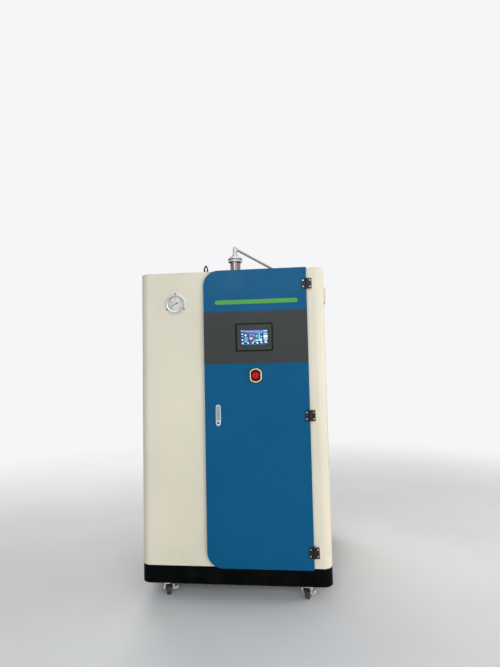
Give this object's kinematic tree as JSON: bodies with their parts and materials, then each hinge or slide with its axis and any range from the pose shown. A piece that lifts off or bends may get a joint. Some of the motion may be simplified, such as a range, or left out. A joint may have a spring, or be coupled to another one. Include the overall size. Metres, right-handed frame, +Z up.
{
  "type": "cabinet steam boiler",
  "caption": "Cabinet steam boiler on braked swivel casters, with a hinged service door, control screen, stop button, pressure gauge and a flanged steam riser through the roof.",
  "frame": {"origin": "on the floor, under the centre of the whole envelope", "axes": "+Z up, the door faces -Y, +X to the right of someone who faces the door"},
  "size_m": [1.146, 1.279, 2.182],
  "materials": {
    "plinth_paint": "satin black powder coat",
    "cabinet_paint": "cream powder coat, semi-gloss",
    "door_paint": "blue powder coat, semi-gloss",
    "band_grey": "dark grey satin film",
    "stripe_green": "green film",
    "seal_rubber": "matt",
    "vessel_cladding": "stainless cladding sheet",
    "pump_paint": "grey enamel",
    "pipe_steel": "turned steel",
    "tube_steel": "drawn tube",
    "gasket": "graphite gasket",
    "dark_steel": "blackened",
    "gauge_metal": "satin stainless",
    "dial_face": "white enamel dial",
    "needle_black": "black",
    "gauge_glass": "clear",
    "bezel_plastic": "dark moulded plastic",
    "screen_glass": "glossy display",
    "guard_yellow": "yellow moulded",
    "button_red": "red moulded",
    "lock_chrome": "satin chrome",
    "hinge_black": "black die-cast",
    "caster_zinc": "bright zinc plate",
    "wheel_rubber": "grey moulded"
  },
  "bodies": {
    "root": {"plinth": "plinth_paint", "left_panel": "cabinet_paint", "right_panel": "cabinet_paint", "rear_panel": "cabinet_paint", "roof": "cabinet_paint", "door_frame": "cabinet_paint", "door_seal": "seal_rubber", "vent_covers": "cabinet_paint", "vessel": "vessel_cladding", "feed_pump": "pump_paint", "feed_pipe": "pipe_steel", "water_pipes": "pipe_steel", "steam_nozzle": "pipe_steel", "flange_gasket": "gasket", "riser": "pipe_steel", "pipe_elbow": "pipe_steel", "vent_tube": "tube_steel", "roof_collars": "seal_rubber", "steam_outlet": "pipe_steel", "lifting_eye": "dark_steel", "gauge_case": "gauge_metal", "gauge_dial": "dial_face", "gauge_needle": "needle_black", "gauge_glass": "gauge_glass", "hinge_frame_leaves": "hinge_black", "caster_plates": "caster_zinc"},
    "door": {"door_skin": "door_paint", "control_band": "band_grey", "door_stripe": "stripe_green", "screen_bezel": "bezel_plastic", "touch_screen": "screen_glass", "stop_guard": "guard_yellow", "lock_plate": "lock_chrome", "lock_cam": "caster_zinc", "hinge_door_leaves": "hinge_black"},
    "stop_button": {"stop_button": "button_red"},
    "lock_handle": {"lock_handle": "lock_chrome"},
    "front_left_swivel": {"front_left_fork": "caster_zinc"},
    "front_left_wheel": {"front_left_wheel": "wheel_rubber"},
    "front_left_pedal": {"front_left_pedal": "caster_zinc"},
    "front_right_swivel": {"front_right_fork": "caster_zinc"},
    "front_right_wheel": {"front_right_wheel": "wheel_rubber"},
    "front_right_pedal": {"front_right_pedal": "caster_zinc"},
    "rear_left_swivel": {"rear_left_fork": "caster_zinc"},
    "rear_left_wheel": {"rear_left_wheel": "wheel_rubber"},
    "rear_left_pedal": {"rear_left_pedal": "caster_zinc"},
    "rear_right_swivel": {"rear_right_fork": "caster_zinc"},
    "rear_right_wheel": {"rear_right_wheel": "wheel_rubber"},
    "rear_right_pedal": {"rear_right_pedal": "caster_zinc"}
  },
  "joints": [
    {"name": "door_hinge", "type": "hinge", "parent": "root", "child": "door", "pos_m": [0.441, -0.6015, 1.033], "axis": [0, 0, 1], "range_deg": [0, 110]},
    {"name": "stop_button_press", "type": "slide", "parent": "door", "child": "stop_button", "axis": [0, 1, 0], "range_m": [0, 0.005], "stiffness_N_per_m": 400},
    {"name": "lock_handle_lift", "type": "hinge", "parent": "door", "child": "lock_handle", "pos_m": [-0.0755, -0.5985, 1.081], "axis": [-1, 0, 0], "range_deg": [0, 30]},
    {"name": "front_left_swivel_turn", "type": "hinge", "parent": "root", "child": "front_left_swivel", "pos_m": [-0.397, -0.5085, 0.1], "axis": [0, 0, 1], "continuous": true},
    {"name": "front_left_wheel_spin", "type": "hinge", "parent": "front_left_swivel", "child": "front_left_wheel", "pos_m": [-0.40442, -0.48568, 0.0375], "axis": [-0.9511, -0.309, 0], "continuous": true},
    {"name": "front_left_pedal_press", "type": "hinge", "parent": "front_left_swivel", "child": "front_left_pedal", "pos_m": [-0.39267, -0.52182, 0.066], "axis": [0.9511, 0.309, 0], "range_deg": [0, 12]},
    {"name": "front_right_swivel_turn", "type": "hinge", "parent": "root", "child": "front_right_swivel", "pos_m": [0.397, -0.5085, 0.1], "axis": [0, 0, 1], "continuous": true},
    {"name": "front_right_wheel_spin", "type": "hinge", "parent": "front_right_swivel", "child": "front_right_wheel", "pos_m": [0.40199, -0.48502, 0.0375], "axis": [-0.9781, 0.2079, 0], "continuous": true},
    {"name": "front_right_pedal_press", "type": "hinge", "parent": "front_right_swivel", "child": "front_right_pedal", "pos_m": [0.39409, -0.52219, 0.066], "axis": [0.9781, -0.2079, 0], "range_deg": [0, 12]},
    {"name": "rear_left_swivel_turn", "type": "hinge", "parent": "root", "child": "rear_left_swivel", "pos_m": [-0.397, 0.5175, 0.1], "axis": [0, 0, 1], "continuous": true},
    {"name": "rear_left_wheel_spin", "type": "hinge", "parent": "rear_left_swivel", "child": "rear_left_wheel", "pos_m": [-0.38879, 0.54005, 0.0375], "axis": [-0.9397, 0.342, 0], "continuous": true},
    {"name": "rear_left_pedal_press", "type": "hinge", "parent": "rear_left_swivel", "child": "rear_left_pedal", "pos_m": [-0.40179, 0.50434, 0.066], "axis": [0.9397, -0.342, 0], "range_deg": [0, 12]},
    {"name": "rear_right_swivel_turn", "type": "hinge", "parent": "root", "child": "rear_right_swivel", "pos_m": [0.397, 0.5175, 0.1], "axis": [0, 0, 1], "continuous": true},
    {"name": "rear_right_wheel_spin", "type": "hinge", "parent": "rear_right_swivel", "child": "rear_right_wheel", "pos_m": [0.38879, 0.54005, 0.0375], "axis": [-0.9397, -0.342, 0], "continuous": true},
    {"name": "rear_right_pedal_press", "type": "hinge", "parent": "rear_right_swivel", "child": "rear_right_pedal", "pos_m": [0.40179, 0.50434, 0.066], "axis": [0.9397, 0.342, 0], "range_deg": [0, 12]}
  ]
}
